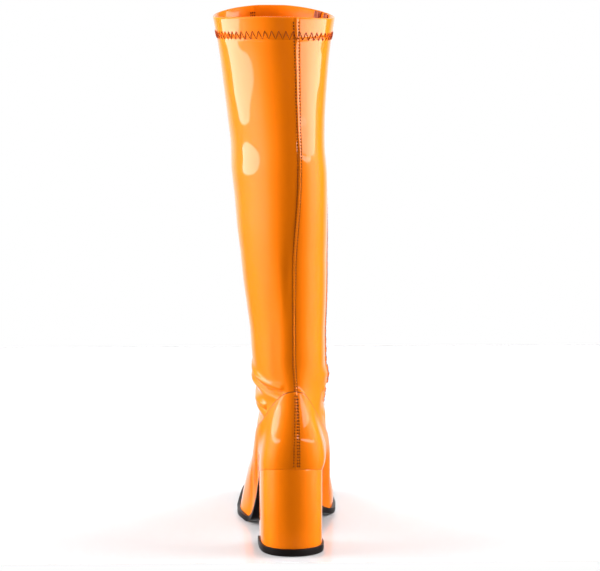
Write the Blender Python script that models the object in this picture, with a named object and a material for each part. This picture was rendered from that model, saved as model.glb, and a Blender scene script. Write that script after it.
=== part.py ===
# Left over-the-ankle "go go" boot in orange patent leather, on a three inch block heel.
# Frame: +Z up, +Y to the toe, -X the outer side, origin in the middle of the heel's walking face.
import math

import bpy
import numpy as np

# Sizes of the whole boot, in metres
SOLE_LENGTH = 0.243
BALL_WIDTH = 0.0885
SEAT_WIDTH = 0.0526
HEEL_HEIGHT = 0.076
BOOT_HEIGHT = 0.4587
COLLAR_WIDTH = 0.0994
COLLAR_DIP = 0.0047
COLLAR_START = 0.62
COLLAR_FULL = 0.95
ZIP_FORWARD = 0.05
TOPLINE_HEIGHT = 0.142
SHAFT_START = 0.170

# Thicknesses, edges and gaps, in metres
SHAFT_WALL = 0.0016
FOOT_WALL = 0.0024
HEM_WALL = 0.0022
HEM_DEPTH = 0.018
SEAM_RAISE = 0.0006
WELT_RAISE = 0.0006
ZIP_GROOVE_DEPTH = 0.0004
GAP = 0.00035
SOLE_GAP = 0.0005
LEDGE = 0.0026
SOLE_THICKNESS = 0.0047
WAIST_THICKNESS = 0.0030
INSOLE_THICKNESS = 0.0022
LIFT_THICKNESS = 0.0060
LIFT_EDGE = 0.0013
HEEL_TURN = math.radians(5.5)
HEEL_DEPTH = 0.0485
BALL_SLANT = 0.346

# Zip: chain, slider and pull, in metres
CHAIN_RISE = 0.0008
CHAIN_EDGE_RISE = 0.0004
SLIDER_LENGTH = 0.0100
SLIDER_TOP_WIDTH = 0.0084
SLIDER_END_WIDTH = 0.0060
SLIDER_THICKNESS = 0.0014
SLIDER_BELOW_RIM = 0.0070
BRIDGE_WIDTH = 0.0020
BRIDGE_WINDOW = 0.0025
BRIDGE_HEIGHT = 0.0023
BRIDGE_BAR = 0.0010
PULL_LENGTH = 0.0145
PULL_WIDTH = 0.0052
PULL_THICKNESS = 0.0010
PULL_HOLE_WIDTH = 0.0030
PULL_HOLE_LENGTH = 0.0032

# Heel seat, in the heel's own axes: side as a share of the seat width, along as a share of the sole length
SEAT = (
    (0.000, 0.0000),
    (0.186, 0.0066),
    (0.350, 0.0272),
    (0.456, 0.0626),
    (0.498, 0.1111),
    (0.500, 0.1605),
    (0.487, 0.2099),
)
# Feather line before the seat: side as a share of the ball width, along as a share of the sole length
OUTER_FEATHER = (
    (-0.346, 0.272),
    (-0.357, 0.354),
    (-0.407, 0.461),
    (-0.470, 0.535),
    (-0.514, 0.601),
    (-0.522, 0.658),
    (-0.508, 0.720),
    (-0.488, 0.782),
    (-0.455, 0.856),
    (-0.402, 0.914),
    (-0.305, 0.960),
    (-0.164, 0.986),
    (-0.011, 0.992),
)
INNER_FEATHER = (
    (0.199, 0.288),
    (0.191, 0.354),
    (0.220, 0.428),
    (0.280, 0.502),
    (0.365, 0.576),
    (0.412, 0.634),
    (0.424, 0.687),
    (0.420, 0.749),
    (0.402, 0.823),
    (0.366, 0.885),
    (0.298, 0.936),
    (0.176, 0.979),
    (-0.011, 0.992),
)
# Bottom of the upper: along as a share of the sole length, height as a share of the heel height
FEATHER_RISE = (
    (0.000, 1.0000),
    (0.091, 0.9237),
    (0.185, 0.8289),
    (0.247, 0.7303),
    (0.309, 0.5724),
    (0.370, 0.3882),
    (0.432, 0.2303),
    (0.494, 0.1224),
    (0.560, 0.0658),
    (0.708, 0.0658),
    (0.765, 0.0789),
    (0.823, 0.1053),
    (0.926, 0.1684),
    (1.000, 0.2237),
)
# Seam between foot and shaft: column, outer and inner height / topline height, outer and inner half width / seat width
TOPLINE = (
    (0.00, 1.000, 1.000, 0.580, 0.560),
    (0.06, 0.994, 0.990, 0.580, 0.560),
    (0.12, 0.973, 0.952, 0.582, 0.562),
    (0.20, 0.908, 0.872, 0.588, 0.570),
    (0.30, 0.798, 0.760, 0.590, 0.600),
    (0.40, 0.725, 0.685, 0.575, 0.640),
    (0.50, 0.655, 0.618, 0.540, 0.670),
    (0.60, 0.560, 0.555, 0.520, 0.655),
    (0.75, 0.565, 0.563, 0.500, 0.610),
    (0.87, 0.650, 0.648, 0.500, 0.560),
    (1.00, 0.760, 0.760, 0.500, 0.540),
)
TOPLINE_CENTRE = (-0.058, 0.286)
TOPLINE_DEPTH = 0.261
TOPLINE_TURN = 5.0
# Side walls of the foot: column, feather column, rise / heel height, outer and inner bulge / ball width,
# run-in below the topline / length, inward lean at the topline
FOOT_COLUMN = (
    (0.00, 0.00, 0.29, 0.040, 0.040, 0.090, 0.16),
    (0.30, 0.22, 0.20, 0.010, 0.110, 0.058, 0.10),
    (0.50, 0.43, 0.26, -0.035, 0.140, 0.100, 0.20),
    (0.70, 0.67, 0.24, -0.045, 0.020, 0.150, 0.36),
    (0.85, 0.84, 0.30, -0.010, -0.010, 0.210, 0.48),
    (1.00, 1.00, 0.37, 0.023, 0.023, 0.272, 0.58),
)
# Shaft: height / boot height, width / collar width, back and front / length, middle / collar width, turn in degrees
SHAFT = (
    (0.3696, 0.633, 0.030, 0.442, -0.051, 4.7),
    (0.4022, 0.639, 0.024, 0.446, -0.056, 5.1),
    (0.4457, 0.671, 0.016, 0.453, -0.063, 5.5),
    (0.5000, 0.709, 0.006, 0.459, -0.075, 6.5),
    (0.5522, 0.731, -0.004, 0.465, -0.087, 7.7),
    (0.6000, 0.755, -0.013, 0.473, -0.100, 10.0),
    (0.6522, 0.764, -0.021, 0.481, -0.112, 12.5),
    (0.7065, 0.774, -0.026, 0.483, -0.129, 15.0),
    (0.7587, 0.751, -0.029, 0.481, -0.144, 16.4),
    (0.8109, 0.778, -0.028, 0.484, -0.158, 17.0),
    (0.8696, 0.830, -0.025, 0.490, -0.166, 17.0),
    (0.9348, 0.900, -0.017, 0.496, -0.170, 16.8),
    (1.0000, 1.009, -0.008, 0.502, -0.172, 16.5),
)

# Mesh layout: columns from back seam to front seam, rings from feather line to rim
PLAIN_COLUMNS = [0.011, 0.0155, 0.035, 0.075, 0.125, 0.325, 0.375, 0.425]
PLAIN_COLUMNS += [0.05 * k for k in range(1, 20)] + [0.875, 0.925, 0.975, 0.9845, 0.989]
ZIP_COLUMNS = (0.444, 0.448, 0.472, 0.4755, 0.5245, 0.528, 0.552, 0.556)
ZIP_MIDDLE = 0.5
FOOT_RINGS = (0.0, 0.05, 0.12, 0.21, 0.31, 0.42, 0.54, 0.66, 0.78, 0.90, 1.0)
ANKLE_RINGS = (1.008, 1.12, 1.24, 1.36, 1.37, 1.52, 1.68, 1.84)
SHAFT_RINGS = 11
ZIP_START = 1.365


def smooth(table, column, x):
    """Value of a table's column at x, by a monotone cubic through its rows."""
    rows = np.array(table, float)
    xs = rows[:, 0]
    ys = rows[:, column]
    step = np.diff(xs)
    slope = np.diff(ys) / step
    tangent = np.zeros(len(xs))
    both = slope[:-1] * slope[1:] > 0
    tangent[1:-1][both] = 2 * slope[:-1][both] * slope[1:][both] / (slope[:-1] + slope[1:])[both]
    tangent[0] = slope[0]
    tangent[-1] = slope[-1]
    x = np.clip(np.asarray(x, float), xs[0], xs[-1])
    k = np.clip(np.searchsorted(xs, x, side="right") - 1, 0, len(step) - 1)
    t = (x - xs[k]) / step[k]
    first = ys[k] * (1 + 2 * t) * (1 - t) ** 2 + step[k] * tangent[k] * t * (1 - t) ** 2
    return first + ys[k + 1] * t * t * (3 - 2 * t) + step[k] * tangent[k + 1] * t * t * (t - 1)


def ramp(x, low, high):
    t = np.clip((np.asarray(x, float) - low) / (high - low), 0, 1)
    return t * t * (3 - 2 * t)


def turned(x, y, angle):
    """A plan direction or point turned about the origin, towards the outer side at the toe."""
    return x * np.cos(angle) - y * np.sin(angle), x * np.sin(angle) + y * np.cos(angle)


def side_path(side):
    """Dense feather line of one side in plan, from the back of the seat to the tip of the toe."""
    points = []
    for across, along in SEAT:
        points.append(turned(side * across * SEAT_WIDTH, along * SOLE_LENGTH, HEEL_TURN))
    for across, along in INNER_FEATHER if side > 0 else OUTER_FEATHER:
        points.append((across * BALL_WIDTH, along * SOLE_LENGTH))
    points = np.array(points)
    chord = np.linalg.norm(np.diff(points, axis=0), axis=1)
    run = np.concatenate([[0], np.cumsum(chord)])
    tangent = np.zeros_like(points)
    tangent[1:-1] = (points[2:] - points[:-2]) / (run[2:] - run[:-2])[:, None]
    tangent[0] = turned(side, 0.0, HEEL_TURN)
    tangent[-1] = (-side, 0.0)
    dense = []
    for k, length in enumerate(chord):
        t = np.linspace(0, 1, 24, endpoint=k == len(chord) - 1)[:, None]
        start = points[k] * (1 + 2 * t) * (1 - t) ** 2 + length * tangent[k] * t * (1 - t) ** 2
        end = points[k + 1] * t * t * (3 - 2 * t) + length * tangent[k + 1] * t * t * (t - 1)
        dense.append(start + end)
    return np.concatenate(dense)


def along_path(path, share):
    """Points at these shares of a path's length."""
    run = np.concatenate([[0], np.cumsum(np.linalg.norm(np.diff(path, axis=0), axis=1))])
    at = np.asarray(share, float) * run[-1]
    return np.stack([np.interp(at, run, path[:, k]) for k in range(path.shape[1])], axis=-1)


def path_share(path, along):
    """Share of a path's length at which it has run this far along the heel's own axis."""
    run = np.concatenate([[0], np.cumsum(np.linalg.norm(np.diff(path, axis=0), axis=1))])
    _, reach = turned(path[:, 0], path[:, 1], -HEEL_TURN)
    k = int(np.argmax(reach > along))
    t = (along - reach[k - 1]) / (reach[k] - reach[k - 1])
    return (run[k - 1] + t * (run[k] - run[k - 1])) / run[-1]


def widened(path, side, edge):
    """A plan path moved outwards by an edge, which may differ from point to point."""
    tangent = np.gradient(path, axis=0)
    tangent /= np.linalg.norm(tangent, axis=1)[:, None]
    outward = np.stack([tangent[:, 1], -tangent[:, 0]], axis=1) * side
    return path + outward * np.reshape(edge, (-1, 1))


def feather_height(x, y):
    """Height of the upper's bottom edge; the ball line runs back towards the outer side."""
    y = np.asarray(y, float)
    fade = ramp(y, 0.25 * SOLE_LENGTH, 0.46 * SOLE_LENGTH) * (1 - ramp(y, 0.76 * SOLE_LENGTH, SOLE_LENGTH))
    slanted = y - BALL_SLANT * fade * (np.asarray(x, float) + 0.03 * BALL_WIDTH)
    return HEEL_HEIGHT * smooth(FEATHER_RISE, 1, slanted / SOLE_LENGTH)


def topline(u, side):
    """Points of the seam between foot and shaft, and the outward direction in plan."""
    angle = math.pi * u
    half_width = smooth(TOPLINE, 4 if side > 0 else 3, u) * SEAT_WIDTH
    half_depth = TOPLINE_DEPTH * SOLE_LENGTH
    turn = math.radians(TOPLINE_TURN)
    x, y = turned(side * half_width * np.sin(angle), -half_depth * np.cos(angle), turn)
    out_x, out_y = turned(side * np.sin(angle) * half_depth, -np.cos(angle) * half_width, turn)
    size = np.hypot(out_x, out_y)
    x = x + TOPLINE_CENTRE[0] * BALL_WIDTH
    y = y + TOPLINE_CENTRE[1] * SOLE_LENGTH
    z = smooth(TOPLINE, 2 if side > 0 else 1, u) * TOPLINE_HEIGHT
    return np.stack([x, y, z], axis=-1), np.stack([out_x / size, out_y / size, 0 * z], axis=-1)


def shaft(u, side, z):
    """Points of the leg of the boot at a height."""
    share = z / BOOT_HEIGHT
    half_width = smooth(SHAFT, 1, share) * COLLAR_WIDTH / 2
    back = smooth(SHAFT, 2, share) * SOLE_LENGTH
    front = smooth(SHAFT, 3, share) * SOLE_LENGTH
    turn = np.radians(smooth(SHAFT, 5, share))
    half_depth = (front - back) / 2
    near_collar = ramp(share, COLLAR_START, COLLAR_FULL)
    angle = math.pi * (u + ZIP_FORWARD * near_collar * np.sin(math.pi * u))
    x, y = turned(side * half_width * np.sin(angle), -half_depth * np.cos(angle), turn)
    reach = np.hypot(half_width * np.cos(turn), half_depth * np.sin(turn))
    height = z - COLLAR_DIP * near_collar * (x / reach) ** 2
    return np.stack([x + smooth(SHAFT, 4, share) * COLLAR_WIDTH, y + (front + back) / 2, height], axis=-1)


def bezier(first, second, third, last, t):
    return first * (1 - t) ** 3 + 3 * second * t * (1 - t) ** 2 + 3 * third * t * t * (1 - t) + last * t**3


def upper_surface(u, side, v):
    """The outer skin of one side without its seams: rings v by columns u."""
    u = np.asarray(u, float)
    seam, outward = topline(u, side)
    lean = smooth(FOOT_COLUMN, 6, u)[:, None]
    rise = (np.array([0, 0, 1.0]) - outward * lean) / np.sqrt(1 + lean**2)
    path = side_path(side)
    start = along_path(path, smooth(FOOT_COLUMN, 1, u))
    ahead = along_path(path, np.clip(smooth(FOOT_COLUMN, 1, u) + 0.004, 0, 1))
    behind = along_path(path, np.clip(smooth(FOOT_COLUMN, 1, u) - 0.004, 0, 1))
    along = (ahead - behind) / np.linalg.norm(ahead - behind, axis=1)[:, None]
    edge_out = np.stack([along[:, 1] * side, -along[:, 0] * side, 0 * u], axis=-1)
    start = np.column_stack([start, feather_height(start[:, 0], start[:, 1])])
    up = np.zeros_like(start)
    up[:, 2] = smooth(FOOT_COLUMN, 2, u) * HEEL_HEIGHT
    first = start + up + edge_out * (smooth(FOOT_COLUMN, 4 if side > 0 else 3, u) * BALL_WIDTH)[:, None]
    second = seam - rise * (smooth(FOOT_COLUMN, 5, u) * SOLE_LENGTH)[:, None]
    above = shaft(u, side, SHAFT_START)
    above_run = shaft(u, side, SHAFT_START + 0.004) - above
    above_run /= np.linalg.norm(above_run, axis=1)[:, None]
    reach = np.linalg.norm(above - seam, axis=1)[:, None] / 3
    rings = []
    for ring in v:
        if ring <= 1:
            rings.append(bezier(start, first, second, seam, ring))
        elif ring <= 2:
            rings.append(bezier(seam, seam + rise * reach, above - above_run * reach, above, ring - 1))
        else:
            rings.append(shaft(u, side, SHAFT_START + (ring - 2) * (BOOT_HEIGHT - SHAFT_START)))
    return np.array(rings)


def around(inner_u, outer_u, v):
    """The whole skin: inner side from back to front, then the outer side from front to back."""
    inner = upper_surface(inner_u, 1, v)
    outer = upper_surface(outer_u, -1, v)
    return np.concatenate([inner, outer[:, -2:0:-1]], axis=1)


def ring_normals(grid):
    """Outward unit normals of a closed grid of rings by columns."""
    tangent = np.roll(grid, -1, axis=1) - np.roll(grid, 1, axis=1)
    up = np.gradient(grid, axis=0)
    normal = np.cross(tangent, up)
    return normal / np.linalg.norm(normal, axis=2)[:, :, None]


def clean_mesh(name, points, faces, material):
    """A mesh object from points and faces, with points that meet made one."""
    points = np.asarray(points, float) - ORIGIN
    _, first, index = np.unique(np.round(points / 1e-7), axis=0, return_index=True, return_inverse=True)
    index = index.reshape(-1)
    kept = []
    for face in faces:
        ring = [int(index[k]) for k in face]
        ring = [k for n, k in enumerate(ring) if k != ring[n - 1]]
        if len(set(ring)) > 2:
            kept.append(ring)
    mesh = bpy.data.meshes.new(name)
    mesh.from_pydata([tuple(p) for p in points[first]], [], kept)
    mesh.validate()
    obj = bpy.data.objects.new(name, mesh)
    bpy.context.scene.collection.objects.link(obj)
    mesh.materials.append(MATERIALS[material])
    return obj


def sheet_faces(rows, columns, start, closed, flip):
    """Quads of a grid; closed joins its last column to its first."""
    faces = []
    for i in range(rows - 1):
        for j in range(columns if closed else columns - 1):
            k = (j + 1) % columns
            face = [i * columns + j, i * columns + k, (i + 1) * columns + k, (i + 1) * columns + j]
            faces.append([start + n for n in (face[::-1] if flip else face)])
    return faces


def slab(name, outer, inner, top, bottom, across, material):
    """A solid between two plan paths, with a height rule for its top and one for its bottom."""
    t = np.linspace(0, 1, across + 1)[None, :, None]
    plan = outer[:, None, :] * (1 - t) + inner[:, None, :] * t
    rows = len(outer)
    columns = across + 1
    high = np.dstack([plan, top(plan[..., 0], plan[..., 1])]).reshape(-1, 3)
    low = np.dstack([plan, bottom(plan[..., 0], plan[..., 1])]).reshape(-1, 3)
    n = rows * columns
    faces = sheet_faces(rows, columns, 0, False, False) + sheet_faces(rows, columns, n, False, True)
    for i in range(rows - 1):
        a = i * columns
        b = a + columns
        faces.append([a, b, b + n, a + n])
        faces.append([b + across, a + across, a + across + n, b + across + n])
    for j in range(across):
        last = (rows - 1) * columns + j
        faces.append([j + 1, j, j + n, j + 1 + n])
        faces.append([last, last + 1, last + 1 + n, last + n])
    return clean_mesh(name, np.concatenate([high, low]), faces, material)


def make_upper():
    """One hollow solid: foot and shaft walls, open at the collar and underneath."""
    inner_u = sorted([0.0, 1.0] + PLAIN_COLUMNS + list(ZIP_COLUMNS))
    if ZIP_MIDDLE in inner_u:
        inner_u.remove(ZIP_MIDDLE)
    outer_u = sorted([0.0, 1.0] + PLAIN_COLUMNS)
    v = UPPER_RINGS
    skin = around(inner_u, outer_u, v)
    normal = ring_normals(skin)
    normal[0, :, 2] = 0
    normal[0] /= np.linalg.norm(normal[0], axis=1)[:, None]
    normal[-1, :, 2] = 0
    normal[-1] /= np.linalg.norm(normal[-1], axis=1)[:, None]
    columns = np.array(inner_u + outer_u[-2:0:-1])
    inside = np.array([1] * len(inner_u) + [0] * (len(outer_u) - 2))
    raise_by = np.zeros(skin.shape[:2])
    wall = np.zeros(skin.shape[:2])
    for i, ring in enumerate(v):
        step = FOOT_WALL - SHAFT_WALL
        inset = 0 if ring <= 1 else step * (1 - ramp(ring, 1.0, 1.7))
        seam = (columns < 0.012) | ((columns > 0.988) & (ring > 1))
        raise_by[i] = -inset + SEAM_RAISE * seam
        if ring > ZIP_START:
            welt = (inside == 1) & (np.abs(columns - ZIP_MIDDLE) < 0.053)
            groove = (inside == 1) & (np.abs(columns - ZIP_MIDDLE) < 0.026)
            raise_by[i][welt] = WELT_RAISE - inset
            raise_by[i][groove] = -ZIP_GROOVE_DEPTH - inset
        hem = skin[i, 0, 2] > BOOT_HEIGHT - HEM_DEPTH
        wall[i] = inset + (FOOT_WALL if ring <= 1 else HEM_WALL if hem else SHAFT_WALL)
    outside = skin + normal * raise_by[:, :, None]
    lining = skin - normal * wall[:, :, None]
    for edge in (outside[0], lining[0]):
        edge[:, 2] = feather_height(edge[:, 0], edge[:, 1])
    rows, cols = skin.shape[:2]
    n = rows * cols
    faces = sheet_faces(rows, cols, 0, True, False) + sheet_faces(rows, cols, n, True, True)
    top = (rows - 1) * cols
    for j in range(cols):
        k = (j + 1) % cols
        faces.append([k, j, n + j, n + k])
        faces.append([top + j, top + k, n + top + k, n + top + j])
    points = np.concatenate([outside.reshape(-1, 3), lining.reshape(-1, 3)])
    return clean_mesh("upper", points, faces, "orange_patent")


def make_outsole():
    """Sole from the heel's breast to the toe, with a ledge round the forefoot."""
    shares = []
    paths = []
    for side in (-1, 1):
        path = side_path(side)
        edge = LEDGE * ramp(path[:, 1], 0.23 * SOLE_LENGTH, 0.42 * SOLE_LENGTH)
        grown = widened(path, side, edge)
        first = path_share(grown, HEEL_DEPTH + GAP)
        share = np.concatenate([[first], ROW_SHARES[ROW_SHARES > first + 0.006]])
        shares.append(share)
        paths.append(grown)
    rows = min(len(share) for share in shares)
    sides = [along_path(path, share[-rows:]) for path, share in zip(paths, shares)]
    for path, plan in zip(paths, sides):
        plan[0] = along_path(path, path_share(path, HEEL_DEPTH + GAP))
    sides[0][-1] = sides[1][-1] = (sides[0][-1] + sides[1][-1]) / 2

    def thickness(y):
        share = ramp(y, 0.30 * SOLE_LENGTH, 0.52 * SOLE_LENGTH)
        return WAIST_THICKNESS + (SOLE_THICKNESS - WAIST_THICKNESS) * share

    def top(x, y):
        return feather_height(x, y) - SOLE_GAP

    def bottom(x, y):
        return np.maximum(feather_height(x, y) - SOLE_GAP - thickness(y), 0.0)

    return slab("outsole", sides[0], sides[1], top, bottom, 6, "black_rubber")


def make_insole():
    """Insole board lying on the sole inside the walls."""
    sides = []
    for side in (-1, 1):
        path = along_path(side_path(side), ROW_SHARES)
        sides.append(widened(path, side, -FOOT_WALL - 4 * GAP))
    for end in (0, -1):
        sides[0][end] = sides[1][end] = (sides[0][end] + sides[1][end]) / 2

    def top(x, y):
        return feather_height(x, y) + GAP + INSOLE_THICKNESS

    def bottom(x, y):
        return feather_height(x, y) + GAP

    return slab("insole", sides[0], sides[1], top, bottom, 6, "insole_board")


def heel_plan(edge):
    """Plan of the heel on each side, from its back to its breast, grown by an edge."""
    sides = []
    for side in (-1, 1):
        grown = widened(side_path(side), side, edge)
        last = path_share(grown, HEEL_DEPTH + edge)
        sides.append(along_path(grown, np.linspace(0, last, 17)))
    sides[0][0] = sides[1][0] = (sides[0][0] + sides[1][0]) / 2
    return sides


def make_heel():
    """Covered block and the black top lift that it stands on."""
    sides = heel_plan(0.0)

    def top(x, y):
        return feather_height(x, y) - GAP

    def base(x, y):
        return 0 * x + LIFT_THICKNESS + GAP

    block = slab("heel_block", sides[0], sides[1], top, base, 4, "orange_patent")
    sides = heel_plan(LIFT_EDGE)

    def lift_top(x, y):
        return 0 * x + LIFT_THICKNESS

    def ground(x, y):
        return 0 * x

    lift = slab("top_lift", sides[0], sides[1], lift_top, ground, 4, "black_rubber")
    return block, lift


def zip_frame():
    """Where the slider sits on the closed zip: point on the skin, sideways, up and outward directions."""
    z = BOOT_HEIGHT - SLIDER_BELOW_RIM
    here = shaft(np.array([ZIP_MIDDLE]), 1, z)[0]
    above = shaft(np.array([ZIP_MIDDLE]), 1, z + 0.002)[0]
    below = shaft(np.array([ZIP_MIDDLE]), 1, z - 0.002)[0]
    ahead = shaft(np.array([ZIP_MIDDLE + 0.01]), 1, z)[0]
    behind = shaft(np.array([ZIP_MIDDLE - 0.01]), 1, z)[0]
    sideways = (ahead - behind) / np.linalg.norm(ahead - behind)
    up = (above - below) / np.linalg.norm(above - below)
    outward = np.cross(sideways, up)
    outward /= np.linalg.norm(outward)
    return here, sideways, np.cross(outward, sideways), outward


def prism(name, outline, low, high, frame, material):
    """A plate: outline in the first two directions of a frame, low to high along the third."""
    here, first, second, third = frame
    flat = [here + first * a + second * b for a, b in outline]
    n = len(flat)
    points = [p + third * low for p in flat] + [p + third * high for p in flat]
    faces = [list(range(n))[::-1], list(range(n, 2 * n))]
    for k in range(n):
        m = (k + 1) % n
        faces.append([k, m, m + n, k + n])
    return clean_mesh(name, points, faces, material)


def frame_plate(name, outline, hole, low, high, frame, material):
    """A plate with a hole; outline and hole have the same number of corners, in the same order."""
    here, first, second, third = frame
    n = len(outline)
    points = []
    for height in (low, high):
        for ring in (outline, hole):
            points += [here + first * a + second * b + third * height for a, b in ring]
    faces = []
    for k in range(n):
        m = (k + 1) % n
        faces.append([k, k + n, m + n, m])
        faces.append([k + 2 * n, m + 2 * n, m + 3 * n, k + 3 * n])
        faces.append([k, m, m + 2 * n, k + 2 * n])
        faces.append([k + n, k + 3 * n, m + 3 * n, m + n])
    return clean_mesh(name, points, faces, material)


def make_zip_chain():
    """Closed chain lying in the groove between the two welts, from above the topline to the slider."""
    u = np.array([0.4795, 0.4880, 0.5120, 0.5205])
    v = [ring for ring in UPPER_RINGS if ring > ZIP_START]
    skin = upper_surface(u, 1, v)
    tangent = np.gradient(skin, axis=1)
    normal = np.cross(tangent, np.gradient(skin, axis=0))
    normal /= np.linalg.norm(normal, axis=2)[:, :, None]
    step = FOOT_WALL - SHAFT_WALL
    inset = np.array([step * (1 - ramp(ring, 1.0, 1.7)) for ring in v])[:, None, None]
    floor = GAP - ZIP_GROOVE_DEPTH
    crown = np.array([CHAIN_EDGE_RISE, CHAIN_RISE, CHAIN_RISE, CHAIN_EDGE_RISE])[None, :, None]
    high = (skin + normal * (crown - inset)).reshape(-1, 3)
    low = (skin + normal * (floor - inset)).reshape(-1, 3)
    low[:4, 2] += 0.0006
    high[:4, 2] += 0.0006
    rows, cols = skin.shape[:2]
    n = rows * cols
    faces = sheet_faces(rows, cols, 0, False, False) + sheet_faces(rows, cols, n, False, True)
    for i in range(rows - 1):
        a = i * cols
        b = a + cols
        faces.append([a, b, b + n, a + n])
        faces.append([b + 3, a + 3, a + 3 + n, b + 3 + n])
    for j in range(cols - 1):
        last = (rows - 1) * cols + j
        faces.append([j + 1, j, j + n, j + 1 + n])
        faces.append([last, last + 1, last + 1 + n, last + n])
    return clean_mesh("zip_chain", np.concatenate([high, low]), faces, "zip_tape")


def make_slider():
    """Slider body with a bridge, on top of the chain, and the pull hanging from the bridge."""
    here, sideways, up, outward = zip_frame()
    face = CHAIN_RISE + GAP + 0.0001
    back = face + SLIDER_THICKNESS
    half = SLIDER_LENGTH / 2
    wide = SLIDER_TOP_WIDTH / 2
    narrow = SLIDER_END_WIDTH / 2
    outline = [(-narrow, -half), (narrow, -half), (wide, -0.1 * half), (wide, 0.7 * half)]
    outline += [(0.6 * wide, half), (-0.6 * wide, half), (-wide, 0.7 * half), (-wide, -0.1 * half)]
    body = prism("zip_slider", outline, face, back, (here, sideways, up, outward), "nickel")
    window = BRIDGE_WINDOW / 2
    post = window + BRIDGE_BAR
    crown = back + BRIDGE_HEIGHT
    ring = [(-post, face + 0.0004), (post, face + 0.0004), (post, crown + BRIDGE_BAR), (-post, crown + BRIDGE_BAR)]
    hole = [(-window, back), (window, back), (window, crown), (-window, crown)]
    frame = (here, up, outward, sideways)
    bridge = frame_plate("bridge_shape", ring, hole, -BRIDGE_WIDTH / 2, BRIDGE_WIDTH / 2, frame, "nickel")
    bridge.hide_render = True
    bridge.display_type = "WIRE"
    join = body.modifiers.new("bridge", "BOOLEAN")
    join.operation = "UNION"
    join.solver = "EXACT"
    join.object = bridge
    pivot = here + outward * (back + BRIDGE_HEIGHT / 2)
    level = np.array([outward[0], outward[1], 0.0])
    level /= np.linalg.norm(level)
    bar = PULL_THICKNESS / 2
    wide = PULL_WIDTH / 2
    slot = PULL_HOLE_WIDTH / 2
    foot = -bar - PULL_HOLE_LENGTH
    end = bar - PULL_LENGTH
    outline = [(-wide, bar), (-0.85 * wide, 0.55 * end), (-0.95 * wide, 0.93 * end), (-0.6 * wide, end)]
    outline += [(0.6 * wide, end), (0.95 * wide, 0.93 * end), (0.85 * wide, 0.55 * end), (wide, bar)]
    hole = [(-slot, -bar), (-slot, 0.6 * foot), (-slot, foot + 0.0004), (-0.7 * slot, foot)]
    hole += [(0.7 * slot, foot), (slot, foot + 0.0004), (slot, 0.6 * foot), (slot, -bar)]
    frame = (pivot, sideways, np.array([0, 0, 1.0]), level)
    pull = frame_plate("zip_pull", outline, hole, -bar, bar, frame, "nickel")
    hinge = bpy.data.objects.new("pull_hinge", None)
    bpy.context.scene.collection.objects.link(hinge)
    hinge.location = pivot - ORIGIN
    for vertex in pull.data.vertices:
        vertex.co = vertex.co - hinge.location
    pull.parent = hinge
    return body, pull


def make_material(name, colour, roughness, metallic):
    material = bpy.data.materials.new(name)
    material.use_nodes = True
    shader = material.node_tree.nodes["Principled BSDF"]
    shader.inputs["Base Color"].default_value = (*colour, 1.0)
    shader.inputs["Roughness"].default_value = roughness
    shader.inputs["Metallic"].default_value = metallic
    return material


def rest_centre():
    """Middle of the heel's walking face, which is the origin."""
    sides = heel_plan(LIFT_EDGE)
    loop = np.concatenate([sides[0], sides[1][::-1]])
    x, y = loop[:, 0], loop[:, 1]
    cross = x * np.roll(y, -1) - np.roll(x, -1) * y
    middle_x = ((x + np.roll(x, -1)) * cross).sum() / (3 * cross.sum())
    middle_y = ((y + np.roll(y, -1)) * cross).sum() / (3 * cross.sum())
    return np.array([middle_x, middle_y, 0.0])


for old in list(bpy.data.objects):
    bpy.data.objects.remove(old, do_unlink=True)

columns = np.array(sorted([0.0, 1.0] + PLAIN_COLUMNS))
ROW_SHARES = smooth(FOOT_COLUMN, 1, columns)
hem_share = 1 - HEM_DEPTH / (BOOT_HEIGHT - SHAFT_START)
shaft_rings = [2 + k / SHAFT_RINGS for k in range(SHAFT_RINGS + 1)]
UPPER_RINGS = sorted(
    list(FOOT_RINGS) + list(ANKLE_RINGS) + shaft_rings + [2 + hem_share, 2 + hem_share - 0.002]
)
ORIGIN = np.zeros(3)
ORIGIN = rest_centre()
MATERIALS = {
    "orange_patent": make_material("orange_patent", (0.88, 0.19, 0.004), 0.12, 0.0),
    "black_rubber": make_material("black_rubber", (0.012, 0.010, 0.010), 0.45, 0.0),
    "insole_board": make_material("insole_board", (0.42, 0.20, 0.07), 0.8, 0.0),
    "zip_tape": make_material("zip_tape", (0.55, 0.11, 0.01), 0.6, 0.0),
    "nickel": make_material("nickel", (0.55, 0.54, 0.52), 0.25, 1.0),
}
make_upper()
make_outsole()
make_insole()
make_heel()
make_zip_chain()
make_slider()
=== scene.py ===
"""Looks of an orange patent leather go go boot, left foot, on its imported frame."""
import math

import bpy
import numpy as np
from mathutils import Matrix
from bpy.props import FloatProperty, FloatVectorProperty, IntProperty, PointerProperty


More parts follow.
